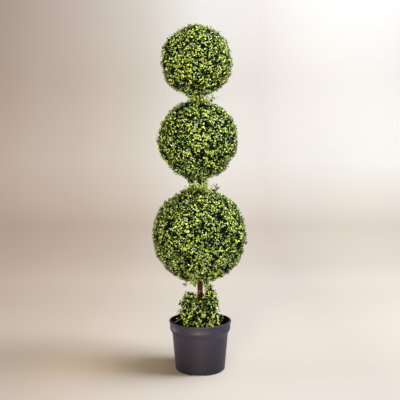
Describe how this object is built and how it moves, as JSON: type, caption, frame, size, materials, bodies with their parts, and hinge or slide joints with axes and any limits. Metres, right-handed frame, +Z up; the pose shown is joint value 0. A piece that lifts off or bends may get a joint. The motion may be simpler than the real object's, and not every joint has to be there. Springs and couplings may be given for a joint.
{
  "type": "artificial potted boxwood topiary",
  "caption": "Artificial boxwood topiary tree: clipped balls of small leaves one above another on a slim trunk, in a round nursery pot with leafy sprays round the foot.",
  "frame": {"origin": "middle of the flat underside of the pot", "axes": "+Z up along the pot's axis and the trunk, -Y towards the front view of the picture, +X to the right in it"},
  "size_m": [0.3321, 0.3278, 1.2156],
  "materials": {
    "pot": "moulded charcoal polypropylene with a soft satin surface",
    "fill": "dark cast weight, rough",
    "trunk": "dark red-brown bark, matt",
    "foliage": "leaves in several greens, satin"
  },
  "bodies": {
    "root": {"pot": "pot", "pot_fill": "fill", "trunk": "trunk", "lower_ball": "foliage", "middle_ball": "foliage", "top_ball": "foliage", "foot_spray_right": "foliage", "foot_spray_back_right": "foliage", "foot_spray_back_left": "foliage", "foot_spray_left": "foliage", "foot_spray_front_left": "foliage", "foot_spray_front_right": "foliage"}
  },
  "joints": []
}
